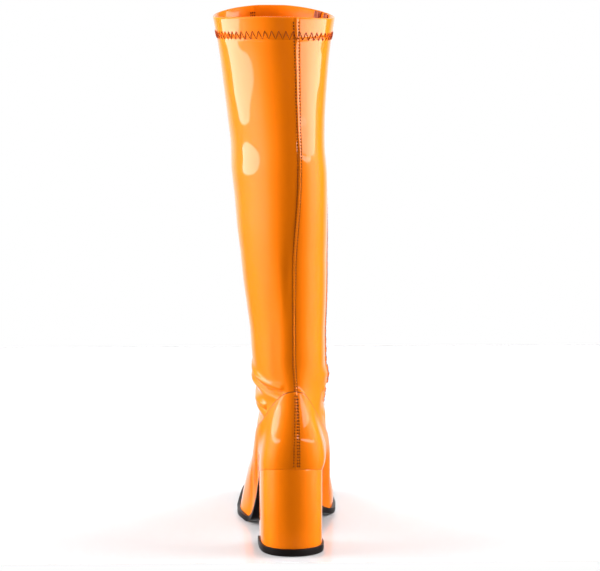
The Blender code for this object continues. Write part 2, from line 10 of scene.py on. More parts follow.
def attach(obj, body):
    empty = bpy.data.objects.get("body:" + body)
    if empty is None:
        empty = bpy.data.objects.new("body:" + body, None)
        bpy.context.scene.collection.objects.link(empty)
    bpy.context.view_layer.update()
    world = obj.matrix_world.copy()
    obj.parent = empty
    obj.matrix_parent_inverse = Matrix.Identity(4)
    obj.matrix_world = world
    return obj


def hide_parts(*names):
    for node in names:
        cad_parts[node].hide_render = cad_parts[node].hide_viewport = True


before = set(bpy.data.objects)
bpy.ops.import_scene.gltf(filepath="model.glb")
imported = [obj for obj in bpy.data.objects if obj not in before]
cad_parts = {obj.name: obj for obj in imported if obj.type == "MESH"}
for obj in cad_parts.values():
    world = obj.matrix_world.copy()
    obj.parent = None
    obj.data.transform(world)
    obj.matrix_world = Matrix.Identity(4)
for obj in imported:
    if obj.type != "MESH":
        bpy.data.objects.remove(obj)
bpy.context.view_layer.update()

bl_info = {
    "name": "Patent go go boot",
    "version": (1, 0, 0),
    "blender": (4, 5, 0),
    "location": "View3D > Sidebar > Boot",
    "description": "Builds the visible pieces of a patent leather go go boot on its measured frame",
    "category": "Object",
}

# Sizes of the boot, in metres
SOLE_LENGTH = 0.243
BALL_WIDTH = 0.0885
SEAT_WIDTH = 0.0526
HEEL_HEIGHT = 0.076
BOOT_HEIGHT = 0.4587
COLLAR_WIDTH = 0.0994
COLLAR_DIP = 0.0047
COLLAR_START = 0.62
COLLAR_FULL = 0.95
ZIP_FORWARD = 0.05
TOPLINE_HEIGHT = 0.142
SHAFT_START = 0.170
SHAFT_WALL = 0.0016
FOOT_WALL = 0.0024
COLLAR_WALL = 0.0022
GAP = 0.00035
SOLE_GAP = 0.0005
LEDGE = 0.0026
SOLE_THICKNESS = 0.0047
WAIST_THICKNESS = 0.0030
INSOLE_THICKNESS = 0.0022
LIFT_THICKNESS = 0.0060
LIFT_EDGE = 0.0013
HEEL_DEPTH = 0.0485
HEEL_TURN = math.radians(5.5)
BALL_SLANT = 0.346
ZIP_MIDDLE = 0.5
ZIP_START = 1.365
ORIGIN = np.array([-0.0025506, 0.02648738, 0.0])
MM = 0.001

# Half girths in mm that turn a column into a distance from the back seam
LEG_HALF_GIRTH = 160.0
ANKLE_HALF_GIRTH = 150.0
FOOT_HALF_GIRTH = 175.0
# Back and front seams: a low ridge between two fine grooves, in mm
BACK_RIDGE = 0.40
BACK_GROOVE = 0.16
FRONT_RIDGE = 0.7
FRONT_GROOVE = 0.35
# Zip: half width of the open channel, half width of the welts, their height and the channel's depth, in mm
CHANNEL = 3.6
WELT_EDGE = 9.4
WELT_HEIGHT = 0.75
CHANNEL_DEPTH = 0.5
# Hem: height of its lower edge below the rim, in mm
HEM_DROP = 18.0
# Rows of stitches, in columns: beside the back seam on leg and foot, the front seam and the zip
LEG_ROW = 0.0124
FOOT_ROWS = (0.0080, 0.0165)
FRONT_ROW = 0.0165
FRONT_INSIDE_ROW = 0.0143
ZIP_ROWS = (-0.0535, 0.0535, -0.030, 0.030)
STITCH_SHARE = 0.66
ZIGZAG_DROP = 0.0143

# Heel seat in the heel's own axes: side / seat width, along / sole length
SEAT = (
    (0.000, 0.0000), (0.186, 0.0066), (0.350, 0.0272), (0.456, 0.0626),
    (0.498, 0.1111), (0.500, 0.1605), (0.487, 0.2099),
)
# Feather line before the seat: side / ball width, along / sole length
OUTER_FEATHER = (
    (-0.346, 0.272), (-0.357, 0.354), (-0.407, 0.461), (-0.470, 0.535), (-0.514, 0.601),
    (-0.522, 0.658), (-0.508, 0.720), (-0.488, 0.782), (-0.455, 0.856), (-0.402, 0.914),
    (-0.305, 0.960), (-0.164, 0.986), (-0.011, 0.992),
)
INNER_FEATHER = (
    (0.199, 0.288), (0.191, 0.354), (0.220, 0.428), (0.280, 0.502), (0.365, 0.576),
    (0.412, 0.634), (0.424, 0.687), (0.420, 0.749), (0.402, 0.823), (0.366, 0.885),
    (0.298, 0.936), (0.176, 0.979), (-0.011, 0.992),
)
# Bottom of the upper: along / sole length, height / heel height
FEATHER_RISE = (
    (0.000, 1.0000), (0.091, 0.9237), (0.185, 0.8289), (0.247, 0.7303), (0.309, 0.5724),
    (0.370, 0.3882), (0.432, 0.2303), (0.494, 0.1224), (0.560, 0.0658), (0.708, 0.0658),
    (0.765, 0.0789), (0.823, 0.1053), (0.926, 0.1684), (1.000, 0.2237),
)
# Seam between foot and leg: column, outer and inner height / topline height,
# outer and inner half width / seat width
TOPLINE = (
    (0.00, 1.000, 1.000, 0.580, 0.560),
    (0.06, 0.994, 0.990, 0.580, 0.560),
    (0.12, 0.973, 0.952, 0.582, 0.562),
    (0.20, 0.908, 0.872, 0.588, 0.570),
    (0.30, 0.798, 0.760, 0.590, 0.600),
    (0.40, 0.725, 0.685, 0.575, 0.640),
    (0.50, 0.655, 0.618, 0.540, 0.670),
    (0.60, 0.560, 0.555, 0.520, 0.655),
    (0.75, 0.565, 0.563, 0.500, 0.610),
    (0.87, 0.650, 0.648, 0.500, 0.560),
    (1.00, 0.760, 0.760, 0.500, 0.540),
)
TOPLINE_CENTRE = (-0.058, 0.286)
TOPLINE_DEPTH = 0.261
TOPLINE_TURN = 5.0
# Side walls of the foot: column, feather column, rise / heel height, outer and inner bulge / ball width,
# run-in below the topline / length, inward lean at the topline
FOOT_COLUMN = (
    (0.00, 0.00, 0.29, 0.040, 0.040, 0.090, 0.16),
    (0.30, 0.22, 0.20, 0.010, 0.110, 0.058, 0.10),
    (0.50, 0.43, 0.26, -0.035, 0.140, 0.100, 0.20),
    (0.70, 0.67, 0.24, -0.045, 0.020, 0.150, 0.36),
    (0.85, 0.84, 0.30, -0.010, -0.010, 0.210, 0.48),
    (1.00, 1.00, 0.37, 0.023, 0.023, 0.272, 0.58),
)
# Leg: height / boot height, width / collar width, back and front / length, middle / collar width,
# turn in degrees
SHAFT = (
    (0.3696, 0.633, 0.030, 0.442, -0.051, 4.7),
    (0.4022, 0.639, 0.024, 0.446, -0.056, 5.1),
    (0.4457, 0.671, 0.016, 0.453, -0.063, 5.5),
    (0.5000, 0.709, 0.006, 0.459, -0.075, 6.5),
    (0.5522, 0.731, -0.004, 0.465, -0.087, 7.7),
    (0.6000, 0.755, -0.013, 0.473, -0.100, 10.0),
    (0.6522, 0.764, -0.021, 0.481, -0.112, 12.5),
    (0.7065, 0.774, -0.026, 0.483, -0.129, 15.0),
    (0.7587, 0.751, -0.029, 0.481, -0.144, 16.4),
    (0.8109, 0.778, -0.028, 0.484, -0.158, 17.0),
    (0.8696, 0.830, -0.025, 0.490, -0.166, 17.0),
    (0.9348, 0.900, -0.017, 0.496, -0.170, 16.8),
    (1.0000, 1.009, -0.008, 0.502, -0.172, 16.5),
)
# Soft bulges and dents of the leg: side, column, height in mm, spread in columns, spread and depth in mm
LEG_BULGES = (
    (1, 0.46, 148, 0.13, 7.0, 2.4),
    (1, 0.46, 124, 0.13, 8.0, -1.6),
    (-1, 0.44, 146, 0.12, 6.5, 1.8),
    (-1, 0.44, 135, 0.12, 4.5, -1.6),
    (-1, 0.42, 125, 0.10, 5.0, 1.6),
    (-1, 0.42, 113, 0.10, 6.0, -1.9),
    (1, 0.22, 165, 0.12, 14.0, 0.7),
    (-1, 0.16, 180, 0.05, 60.0, -0.7),
    (-1, 0.05, 245, 0.03, 28.0, -0.8),
    (1, 0.03, 365, 0.035, 10.0, -0.5),
    (1, 0.90, 150, 0.14, 7.0, -2.2),
    (-1, 0.90, 150, 0.14, 7.0, -2.2),
    (1, 0.86, 134, 0.12, 6.0, 1.6),
    (-1, 0.86, 134, 0.12, 6.0, 1.6),
)
# Creases of the ankle: side, depth and width in mm, then points of column and height in mm;
# each is a trough with a ridge over it
CREASES = (
    (-1, 2.6, 2.0, ((0.60, 156), (0.48, 149), (0.36, 144), (0.26, 140.5), (0.16, 139.5), (0.10, 139.5))),
    (-1, 2.0, 1.8, ((0.66, 130), (0.52, 126), (0.40, 123), (0.30, 121), (0.27, 121))),
    (-1, 0.8, 1.8, ((0.50, 110), (0.42, 107), (0.36, 108))),
    (1, 1.7, 2.2, ((0.62, 142), (0.50, 138), (0.40, 134), (0.34, 131))),
    (1, 0.9, 2.0, ((0.52, 122), (0.42, 116), (0.36, 110))),
    (-1, 1.6, 3.2, ((1.00, 147), (0.86, 143), (0.72, 141))),
    (1, 1.6, 3.2, ((1.00, 147), (0.86, 144), (0.72, 143))),
    (-1, 1.2, 3.0, ((1.00, 129), (0.88, 124), (0.78, 120))),
    (1, 1.2, 3.0, ((1.00, 129), (0.88, 126), (0.78, 122))),
)


def linear(code):
    """Linear colour of an sRGB hex code."""
    channels = [int(code[k:k + 2], 16) / 255 for k in (1, 3, 5)]
    return [c / 12.92 if c <= 0.04045 else ((c + 0.055) / 1.055) ** 2.4 for c in channels]


def smooth(table, column, x):
    """Value of a table's column at x, by a monotone cubic through its rows."""
    rows = np.array(table, float)
    xs, ys = rows[:, 0], rows[:, column]
    step = np.diff(xs)
    slope = np.diff(ys) / step
    tangent = np.zeros(len(xs))
    both = slope[:-1] * slope[1:] > 0
    tangent[1:-1][both] = 2 * slope[:-1][both] * slope[1:][both] / (slope[:-1] + slope[1:])[both]
    tangent[0], tangent[-1] = slope[0], slope[-1]
    x = np.clip(np.asarray(x, float), xs[0], xs[-1])
    k = np.clip(np.searchsorted(xs, x, side="right") - 1, 0, len(step) - 1)
    t = (x - xs[k]) / step[k]
    first = ys[k] * (1 + 2 * t) * (1 - t) ** 2 + step[k] * tangent[k] * t * (1 - t) ** 2
    return first + ys[k + 1] * t * t * (3 - 2 * t) + step[k] * tangent[k + 1] * t * t * (t - 1)


def ramp(x, low, high):
    t = np.clip((np.asarray(x, float) - low) / (high - low), 0, 1)
    return t * t * (3 - 2 * t)


def turned(x, y, angle):
    """A plan direction or point turned towards the outer side at the toe."""
    return x * np.cos(angle) - y * np.sin(angle), x * np.sin(angle) + y * np.cos(angle)


def side_path(side):
    """Dense feather line of one side in plan, from the back of the seat to the tip of the toe."""
    points = [turned(side * a * SEAT_WIDTH, b * SOLE_LENGTH, HEEL_TURN) for a, b in SEAT]
    points += [(a * BALL_WIDTH, b * SOLE_LENGTH) for a, b in (INNER_FEATHER if side > 0 else OUTER_FEATHER)]
    points = np.array(points)
    chord = np.linalg.norm(np.diff(points, axis=0), axis=1)
    run = np.concatenate([[0], np.cumsum(chord)])
    tangent = np.zeros_like(points)
    tangent[1:-1] = (points[2:] - points[:-2]) / (run[2:] - run[:-2])[:, None]
    tangent[0] = turned(side, 0.0, HEEL_TURN)
    tangent[-1] = (-side, 0.0)
    dense = []
    for k, length in enumerate(chord):
        t = np.linspace(0, 1, 24, endpoint=k == len(chord) - 1)[:, None]
        start = points[k] * (1 + 2 * t) * (1 - t) ** 2 + length * tangent[k] * t * (1 - t) ** 2
        end = points[k + 1] * t * t * (3 - 2 * t) + length * tangent[k + 1] * t * t * (t - 1)
        dense.append(start + end)
    return np.concatenate(dense)


def length_along(path):
    """Length run along a path at each of its points."""
    return np.concatenate([[0], np.cumsum(np.linalg.norm(np.diff(path, axis=0), axis=1))])


def along_path(path, share):
    """Points at these shares of a path's length."""
    run = length_along(path)
    at = np.asarray(share, float) * run[-1]
    return np.stack([np.interp(at, run, path[:, k]) for k in range(path.shape[1])], axis=-1)


def path_share(path, along):
    """Share of a path's length at which it has run this far along the heel's own axis."""
    run = length_along(path)
    _, reach = turned(path[:, 0], path[:, 1], -HEEL_TURN)
    k = int(np.argmax(reach > along))
    t = (along - reach[k - 1]) / (reach[k] - reach[k - 1])
    return (run[k - 1] + t * (run[k] - run[k - 1])) / run[-1]


def widened(path, side, edge):
    """A plan path moved outwards by an edge, which may differ from point to point."""
    tangent = np.gradient(path, axis=0)
    tangent /= np.linalg.norm(tangent, axis=1)[:, None]
    outward = np.stack([tangent[:, 1], -tangent[:, 0]], axis=1) * side
    return path + outward * np.reshape(edge, (-1, 1))


def feather_height(x, y):
    """Height of the upper's bottom edge; the ball line runs back towards the outer side."""
    y = np.asarray(y, float)
    fade = ramp(y, 0.25 * SOLE_LENGTH, 0.46 * SOLE_LENGTH) * (1 - ramp(y, 0.76 * SOLE_LENGTH, SOLE_LENGTH))
    slanted = y - BALL_SLANT * fade * (np.asarray(x, float) + 0.03 * BALL_WIDTH)
    return HEEL_HEIGHT * smooth(FEATHER_RISE, 1, slanted / SOLE_LENGTH)


def topline(u, side):
    """Points of the seam between foot and leg, and the outward direction in plan."""
    angle = math.pi * u
    half_width = smooth(TOPLINE, 4 if side > 0 else 3, u) * SEAT_WIDTH
    half_depth = TOPLINE_DEPTH * SOLE_LENGTH
    turn = math.radians(TOPLINE_TURN)
    x, y = turned(side * half_width * np.sin(angle), -half_depth * np.cos(angle), turn)
    out_x, out_y = turned(side * np.sin(angle) * half_depth, -np.cos(angle) * half_width, turn)
    size = np.hypot(out_x, out_y)
    x = x + TOPLINE_CENTRE[0] * BALL_WIDTH
    y = y + TOPLINE_CENTRE[1] * SOLE_LENGTH
    z = smooth(TOPLINE, 2 if side > 0 else 1, u) * TOPLINE_HEIGHT
    return np.stack([x, y, z], axis=-1), np.stack([out_x / size, out_y / size, 0 * z], axis=-1)


def shaft(u, side, z):
    """Points of the leg of the boot at a height."""
    share = z / BOOT_HEIGHT
    half_width = smooth(SHAFT, 1, share) * COLLAR_WIDTH / 2
    back = smooth(SHAFT, 2, share) * SOLE_LENGTH
    front = smooth(SHAFT, 3, share) * SOLE_LENGTH
    turn = np.radians(smooth(SHAFT, 5, share))
    half_depth = (front - back) / 2
    near_collar = ramp(share, COLLAR_START, COLLAR_FULL)
    angle = math.pi * (u + ZIP_FORWARD * near_collar * np.sin(math.pi * u))
    x, y = turned(side * half_width * np.sin(angle), -half_depth * np.cos(angle), turn)
    reach = np.hypot(half_width * np.cos(turn), half_depth * np.sin(turn))
    height = z - COLLAR_DIP * near_collar * (x / reach) ** 2
    return np.stack([x + smooth(SHAFT, 4, share) * COLLAR_WIDTH, y + (front + back) / 2, height], axis=-1)


def bezier(first, second, third, last, t):
    return first * (1 - t) ** 3 + 3 * second * t * (1 - t) ** 2 + 3 * third * t * t * (1 - t) + last * t**3


def skin(u, side, v):
    """The boot's outer skin of one side without its seams: rings v by columns u."""
    u = np.asarray(u, float)
    seam, outward = topline(u, side)
    lean = smooth(FOOT_COLUMN, 6, u)[:, None]
    rise = (np.array([0, 0, 1.0]) - outward * lean) / np.sqrt(1 + lean**2)
    path = side_path(side)
    share = smooth(FOOT_COLUMN, 1, u)
    start = along_path(path, share)
    along = along_path(path, np.clip(share + 0.004, 0, 1)) - along_path(path, np.clip(share - 0.004, 0, 1))
    along /= np.linalg.norm(along, axis=1)[:, None]
    edge_out = np.stack([along[:, 1] * side, -along[:, 0] * side, 0 * u], axis=-1)
    start = np.column_stack([start, feather_height(start[:, 0], start[:, 1])])
    up = np.zeros_like(start)
    up[:, 2] = smooth(FOOT_COLUMN, 2, u) * HEEL_HEIGHT
    first = start + up + edge_out * (smooth(FOOT_COLUMN, 4 if side > 0 else 3, u) * BALL_WIDTH)[:, None]
    second = seam - rise * (smooth(FOOT_COLUMN, 5, u) * SOLE_LENGTH)[:, None]
    above = shaft(u, side, SHAFT_START)
    above_run = shaft(u, side, SHAFT_START + 0.004) - above
    above_run /= np.linalg.norm(above_run, axis=1)[:, None]
    reach = np.linalg.norm(above - seam, axis=1)[:, None] / 3
    rings = []
    for ring in v:
        if ring <= 1:
            rings.append(bezier(start, first, second, seam, ring))
        elif ring <= 2:
            rings.append(bezier(seam, seam + rise * reach, above - above_run * reach, above, ring - 1))
        else:
            rings.append(shaft(u, side, SHAFT_START + (ring - 2) * (BOOT_HEIGHT - SHAFT_START)))
    return np.array(rings)


def around(u, v):
    """Whole rings, up the inner side and back down the outer one, with the side and column of each point."""
    grid = np.concatenate([skin(u, 1, v), skin(u, -1, v)[:, -2:0:-1]], axis=1)
    side = np.concatenate([np.ones(len(u)), -np.ones(len(u) - 2)])
    return grid, side, np.concatenate([u, u[-2:0:-1]])


def ring_normals(grid):
    """Outward unit normals of a closed grid of rings by columns."""
    tangent = np.roll(grid, -1, axis=1) - np.roll(grid, 1, axis=1)
    normal = np.cross(tangent, np.gradient(grid, axis=0))
    return normal / np.linalg.norm(normal, axis=2)[:, :, None]


def bump_at(x, middle, spread):
    return np.exp(-(((x - middle) / spread) ** 2))


def crease_depth(column, height, side):
    """Outward relief of the listed ankle creases, in mm."""
    total = np.zeros_like(height)
    across = column * ANKLE_HALF_GIRTH
    for where, depth, width, points in CREASES:
        points = np.array(points)
        line_x, line_z = points[:, 0] * ANKLE_HALF_GIRTH, points[:, 1]
        nearest = np.full(height.shape, 1e9)
        above = np.zeros_like(height)
        place = np.zeros_like(height)
        for k in range(len(points) - 1):
            dx, dz = line_x[k + 1] - line_x[k], line_z[k + 1] - line_z[k]
            t = np.clip(((across - line_x[k]) * dx + (height - line_z[k]) * dz) / (dx * dx + dz * dz), 0, 1)
            off_x, off_z = across - line_x[k] - t * dx, height - line_z[k] - t * dz
            gap = np.hypot(off_x, off_z)
            closer = gap < nearest
            nearest = np.where(closer, gap, nearest)
            above = np.where(closer, np.sign(off_z) * gap, above)
            place = np.where(closer, (k + t) / (len(points) - 1), place)
        fade = ramp(place, 0, 0.18) * (1 - ramp(place, 0.86, 1.0))
        if points[0, 0] >= 0.99:
            fade = 1 - ramp(place, 0.6, 1)
        relief = -depth * bump_at(above, 0, width) + 0.55 * depth * bump_at(above, 2.2 * width, 1.6 * width)
        relief += 0.45 * depth * bump_at(above, -2.4 * width, 1.8 * width)
        total += np.where((side == where) & (nearest < 6 * width), relief * fade, 0)
    return total


def leg_relief(grid, side, column, v):
    """Outward relief of the leg's skin, in metres: topline step, seams, zip welts, bulges and creases."""
    height = grid[:, :, 2] / MM
    column = np.broadcast_to(column, height.shape)
    side = np.broadcast_to(side, height.shape)
    ring = np.broadcast_to(np.reshape(v, (-1, 1)), height.shape)
    relief = -(FOOT_WALL - SHAFT_WALL) / MM * (1 - ramp(ring, 1.0, 1.7))
    arc = column * LEG_HALF_GIRTH
    relief = relief + BACK_RIDGE * bump_at(arc, 0, 1.2) - BACK_GROOVE * bump_at(arc, 2.1, 0.5)
    front = (1 - column) * LEG_HALF_GIRTH
    relief = relief + FRONT_RIDGE * bump_at(front, 0, 1.5) - FRONT_GROOVE * bump_at(front, 2.7, 0.6)
    for where, middle, level, wide, tall, depth in LEG_BULGES:
        bulge = depth * bump_at(column, middle, wide) * bump_at(height, level, tall)
        relief = relief + (side == where) * bulge
    relief = relief + crease_depth(column, height, side)
    beside = np.abs(column - ZIP_MIDDLE) * LEG_HALF_GIRTH
    zipped = (side > 0) & (ring > ZIP_START - 0.02)
    pucker = np.sin(height * 2 * math.pi / 7.3 + 1.2 * np.sin(height / 11.0))
    pucker = 0.30 * pucker * bump_at(beside, 6.4, 2.6) * (1.0 + 1.6 * bump_at(height, 145, 26))
    closing = ramp(ring, ZIP_START - 0.02, ZIP_START + 0.03)
    welt = WELT_HEIGHT * ramp(WELT_EDGE - beside, 0, 1.2) + pucker
    drop = ramp(CHANNEL - beside, 0, 0.5)
    welt = np.where(beside < CHANNEL, WELT_HEIGHT * (1 - drop) - CHANNEL_DEPTH * drop, welt)
    relief = relief + np.where(zipped, welt * closing, 0)
    hem = BOOT_HEIGHT / MM - HEM_DROP
    relief = relief + 0.25 * ramp(height, hem - 0.8, hem + 0.8) - 0.45 * bump_at(height, hem, 0.9)
    wave = 0.22 * np.sin(column * 34.0 + side * 1.7)
    wave = wave * ramp(height, hem - 14, hem) * (1 - 0.5 * ramp(height, hem, hem + HEM_DROP))
    slow = 0.5 * np.sin(height / 41.0 + 3.1 * column * side + 0.6) * np.sin(column * 9.4 + 0.7 * side)
    fade = ramp(height, 150, 200) * (1 - 0.6 * ramp(height, 420, 455))
    return (relief + wave + slow * fade) * MM


def foot_relief(grid, side, column, v):
    """Outward relief of the foot's skin, in metres: the back seam and soft walking creases over the vamp."""
    arc = np.broadcast_to(column, grid.shape[:2]) * FOOT_HALF_GIRTH
    relief = BACK_RIDGE * bump_at(arc, 0, 1.2) - BACK_GROOVE * bump_at(arc, 2.1, 0.5)
    along = grid[:, :, 1] / MM
    over = ramp(grid[:, :, 2] / MM, 26, 46)
    for place, depth in ((150, 0.55), (160, 0.35), (141, 0.4)):
        relief = relief - depth * over * bump_at(along + 0.12 * np.abs(grid[:, :, 0]) / MM, place, 2.6)
    edge = np.broadcast_to(np.reshape(v, (-1, 1)), grid.shape[:2])
    return (relief - 0.5 * ramp(edge, 0.985, 1.0)) * MM


def rounded_row(grid, normal, wall, steps):
    """Rings that turn the skin over a wall's thickness at its top edge."""
    rows = []
    for k in range(1, steps):
        angle = math.pi * k / steps
        over = np.array([0, 0, wall / 2 * math.sin(angle)])
        rows.append(grid - normal * wall * (1 - math.cos(angle)) / 2 + over)
    return rows


def closed_tube(name, outside, lining, top_rows=()):
    """A closed wall from outer rings, rings over its top and inner rings, all with the same columns."""
    rings = list(outside) + list(top_rows) + list(lining[::-1])
    points = np.concatenate(rings)
    rows, cols = len(rings), outside.shape[1]
    index = np.arange(rows * cols).reshape(rows, cols)
    nxt = np.roll(index, -1, axis=0)
    quads = np.stack([index, np.roll(index, -1, axis=1), np.roll(nxt, -1, axis=1), nxt], axis=-1)
    return mesh_object(name, points, quads.reshape(-1, 4))


def mesh_object(name, points, faces, smooth_faces=True):
    """A mesh piece in the row's frame; points come in the boot's own axes."""
    points = np.asarray(points, float) - ORIGIN
    mesh = bpy.data.meshes.new(name)
    mesh.from_pydata(points.tolist(), [], [list(map(int, f)) for f in faces])
    mesh.update()
    mesh.polygons.foreach_set("use_smooth", [smooth_faces] * len(mesh.polygons))
    obj = bpy.data.objects.new(name, mesh)
    bpy.context.scene.collection.objects.link(obj)
    return obj


def many_solids(name, parts):
    """One piece from many small closed meshes, each a pair of points and faces."""
    points, faces, count = [], [], 0
    for part_points, part_faces in parts:
        points.append(part_points)
        faces += [[k + count for k in face] for face in part_faces]
        count += len(part_points)
    return mesh_object(name, np.concatenate(points), faces)


def tube_faces(rows, sides):
    """Faces of a tube of rings with flat ends."""
    faces = []
    for i in range(rows - 1):
        for j in range(sides):
            k = (j + 1) % sides
            faces.append([i * sides + j, i * sides + k, (i + 1) * sides + k, (i + 1) * sides + j])
    faces.append(list(range(sides))[::-1])
    faces.append([(rows - 1) * sides + k for k in range(sides)])
    return faces


def stitch(start, end, outward, thick):
    """One stitch: a short round thread that dives into the leather at both ends."""
    line = end - start
    length = np.linalg.norm(line)
    line = line / length
    across = np.cross(line, outward)
    across /= np.linalg.norm(across)
    rows = []
    profile = ((0.0, -0.35, 0.55), (0.18, 0.35, 0.9), (0.5, 0.55, 1.0), (0.82, 0.35, 0.9), (1.0, -0.35, 0.55))
    for share, lift, size in profile:
        middle = start + line * length * share + outward * thick * lift
        rows.append([middle + (across * math.cos(a) + outward * math.sin(a)) * thick * size / 2
                     for a in np.linspace(0, 2 * math.pi, 6, endpoint=False)])
    return np.array(rows).reshape(-1, 3), tube_faces(5, 6)


def strand(points, outward, radius, sides=8):
    """A closed round tube along points."""
    points = np.asarray(points, float)
    tangent = np.gradient(points, axis=0)
    tangent /= np.linalg.norm(tangent, axis=1)[:, None]
    across = np.cross(tangent, outward)
    across /= np.linalg.norm(across, axis=1)[:, None]
    up = np.cross(across, tangent)
    ring = np.linspace(0, 2 * math.pi, sides, endpoint=False)[None, :, None]
    grid = points[:, None] + (across[:, None] * np.cos(ring) + up[:, None] * np.sin(ring)) * radius
    return grid.reshape(-1, 3), tube_faces(len(points), sides)


def slab(name, outer, inner, top, bottom, across, rounding):
    """A plate between two plan paths with a rounded rim, joined from a top, a bottom and a side band."""
    t = np.linspace(0, 1, across + 1)[None, :, None]
    plan = outer[:, None, :] * (1 - t) + inner[:, None, :] * t
    rows, columns = len(outer), across + 1
    high = np.dstack([plan, top(plan[..., 0], plan[..., 1])]).reshape(-1, 3)
    low = np.dstack([plan, bottom(plan[..., 0], plan[..., 1])]).reshape(-1, 3)
    index = np.arange(rows * columns).reshape(rows, columns)
    loop = list(index[:, 0][::-1]) + list(index[0, 1:]) + list(index[1:, -1]) + list(index[-1, 1:-1][::-1])
    loop = [k for n, k in enumerate(loop) if n == 0 or k != loop[n - 1]]
    n = rows * columns
    faces = []
    for i in range(rows - 1):
        for j in range(columns - 1):
            face = [index[i, j], index[i, j + 1], index[i + 1, j + 1], index[i + 1, j]]
            faces.append(face)
            faces.append([k + n for k in face[::-1]])
    for k, a in enumerate(loop):
        b = loop[(k + 1) % len(loop)]
        faces.append([b, a, a + n, b + n])
    points = np.concatenate([high, low])
    _, first, back = np.unique(np.round(points / 1e-7), axis=0, return_index=True, return_inverse=True)
    back = back.reshape(-1)
    kept = []
    for face in faces:
        ring = [int(back[k]) for k in face]
        ring = [k for m, k in enumerate(ring) if k != ring[m - 1]]
        if len(set(ring)) > 2:
            kept.append(ring)
    obj = mesh_object(name, points[first], kept)
    bevel = obj.modifiers.new("worn edge", "BEVEL")
    bevel.width = rounding
    bevel.segments = 3
    bevel.limit_method = "ANGLE"
    bevel.angle_limit = math.radians(40)
    bevel.harden_normals = False
    return obj


def node(tree, kind, settings=None, values=None, links=None):
    """Adds a shader node with its settings, its input values and the sockets that feed it."""
    made = tree.nodes.new(kind)
    for name, value in (settings or {}).items():
        setattr(made, name, value)
    for name, value in (values or {}).items():
        made.inputs[name].default_value = value
    for name, source in (links or {}).items():
        tree.links.new(source, made.inputs[name])
    return made


def surface(name, tones, roughness, kind, size, depth, stretch=(1, 1, 1), pattern_values=None, **inputs):
    """A material whose two close tones, gloss and relief follow one pattern, with size and depth in mm."""
    material = bpy.data.materials.new(name)
    material.use_nodes = True
    tree = material.node_tree
    shader = tree.nodes["Principled BSDF"]
    for key, value in inputs.items():
        shader.inputs[key.replace("_", " ")].default_value = value
    place = node(tree, "ShaderNodeTexCoord")
    spread = node(tree, "ShaderNodeMapping", values={"Scale": stretch},
                  links={"Vector": place.outputs["Object"]})
    # A wave texture repeats every 0.314 of its unit, the others about every one
    repeat = 0.314 if kind == "Wave" else 1.0
    values = {"Scale": repeat / (size * MM), **(pattern_values or {})}
    pattern = node(tree, "ShaderNodeTex" + kind, values=values, links={"Vector": spread.outputs["Vector"]})
    amount = pattern.outputs["Distance" if kind == "Voronoi" else "Fac"]
    tone = node(tree, "ShaderNodeMix", {"data_type": "RGBA"},
                {6: (*linear(tones[0]), 1.0), 7: (*linear(tones[1]), 1.0)}, {0: amount})
    gloss = node(tree, "ShaderNodeMapRange", values={"To Min": roughness * 0.85, "To Max": roughness * 1.15},
                 links={"Value": amount})
    relief = node(tree, "ShaderNodeBump", values={"Strength": 1.0, "Distance": depth * MM},
                  links={"Height": amount})
    tree.links.new(tone.outputs[2], shader.inputs["Base Color"])
    tree.links.new(gloss.outputs["Result"], shader.inputs["Roughness"])
    tree.links.new(relief.outputs["Normal"], shader.inputs["Normal"])
    tree.links.new(relief.outputs["Normal"], shader.inputs["Coat Normal"])
    return material


def darker(colour, share):
    """sRGB hex code of a colour whose channels are this share of it."""
    return "#" + "".join(f"{round(int(colour[k:k + 2], 16) * share):02X}" for k in (1, 3, 5))


def patent_material(name, colour, ripple):
    """Patent leather: a dyed base under a clear poured coat, with hard bright bands and faint ripples."""
    return surface(name, (colour, darker(colour, 0.96)), 0.4, "Noise", 29.0, ripple,
                   (1.0, 1.0, 0.35), {"Detail": 1.5, "Roughness": 0.4}, IOR=1.5, Specular_IOR_Level=0.1,
                   Coat_Weight=1.0, Coat_Roughness=0.035, Coat_IOR=1.5)


def rubber_material(name, colour, roughness):
    """Moulded rubber: near black, satin, with a fine even grain from the mould."""
    tones = (colour, darker(colour, 0.75))
    return surface(name, tones, roughness, "Noise", 0.4, 0.025, IOR=1.52)


def thread_material(name, colour):
    """Twisted polyester thread: dull, with its twist as bands, drawn coarser than real so that it shows."""
    tones = (colour, darker(colour, 0.7))
    return surface(name, tones, 0.7, "Wave", 0.5, 0.06, (1.0, 1.0, 0.6), Specular_IOR_Level=0.2)


def sizes():
    return bpy.context.scene.boot_sizes


def colours():
    return bpy.context.scene.boot_colours


def hex_of(vector):
    """sRGB hex code of a colour property, which holds sRGB values."""
    return "#" + "".join(f"{round(max(0, min(1, c)) * 255):02X}" for c in vector)


def give(obj, body, slot, material, *replaced):
    obj.data.materials.append(material)
    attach(obj, body)
    if replaced:
        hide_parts(*replaced)
    return obj


def skin_grid(relief, v, u):
    """Outward directions and points of the finished skin's rings."""
    grid, side, column = around(u, v)
    normal = ring_normals(grid)
    return normal, grid + normal * relief(grid, side, column, v)[:, :, None]


def columns_of(count):
    """Columns from back seam to front seam, finer near the seams and the zip."""
    even = np.linspace(0, 1, count)
    fine = np.concatenate([np.linspace(0, 0.028, 11), 1 - np.linspace(0, 0.028, 9)])
    edge = np.linspace(0.018, 0.030, 6)
    fine = np.concatenate([fine, 0.5 - edge, 0.5 + edge, 0.5 - 0.052 - edge / 4, 0.5 + 0.052 + edge / 4])
    return np.unique(np.round(np.concatenate([even, fine]), 5))


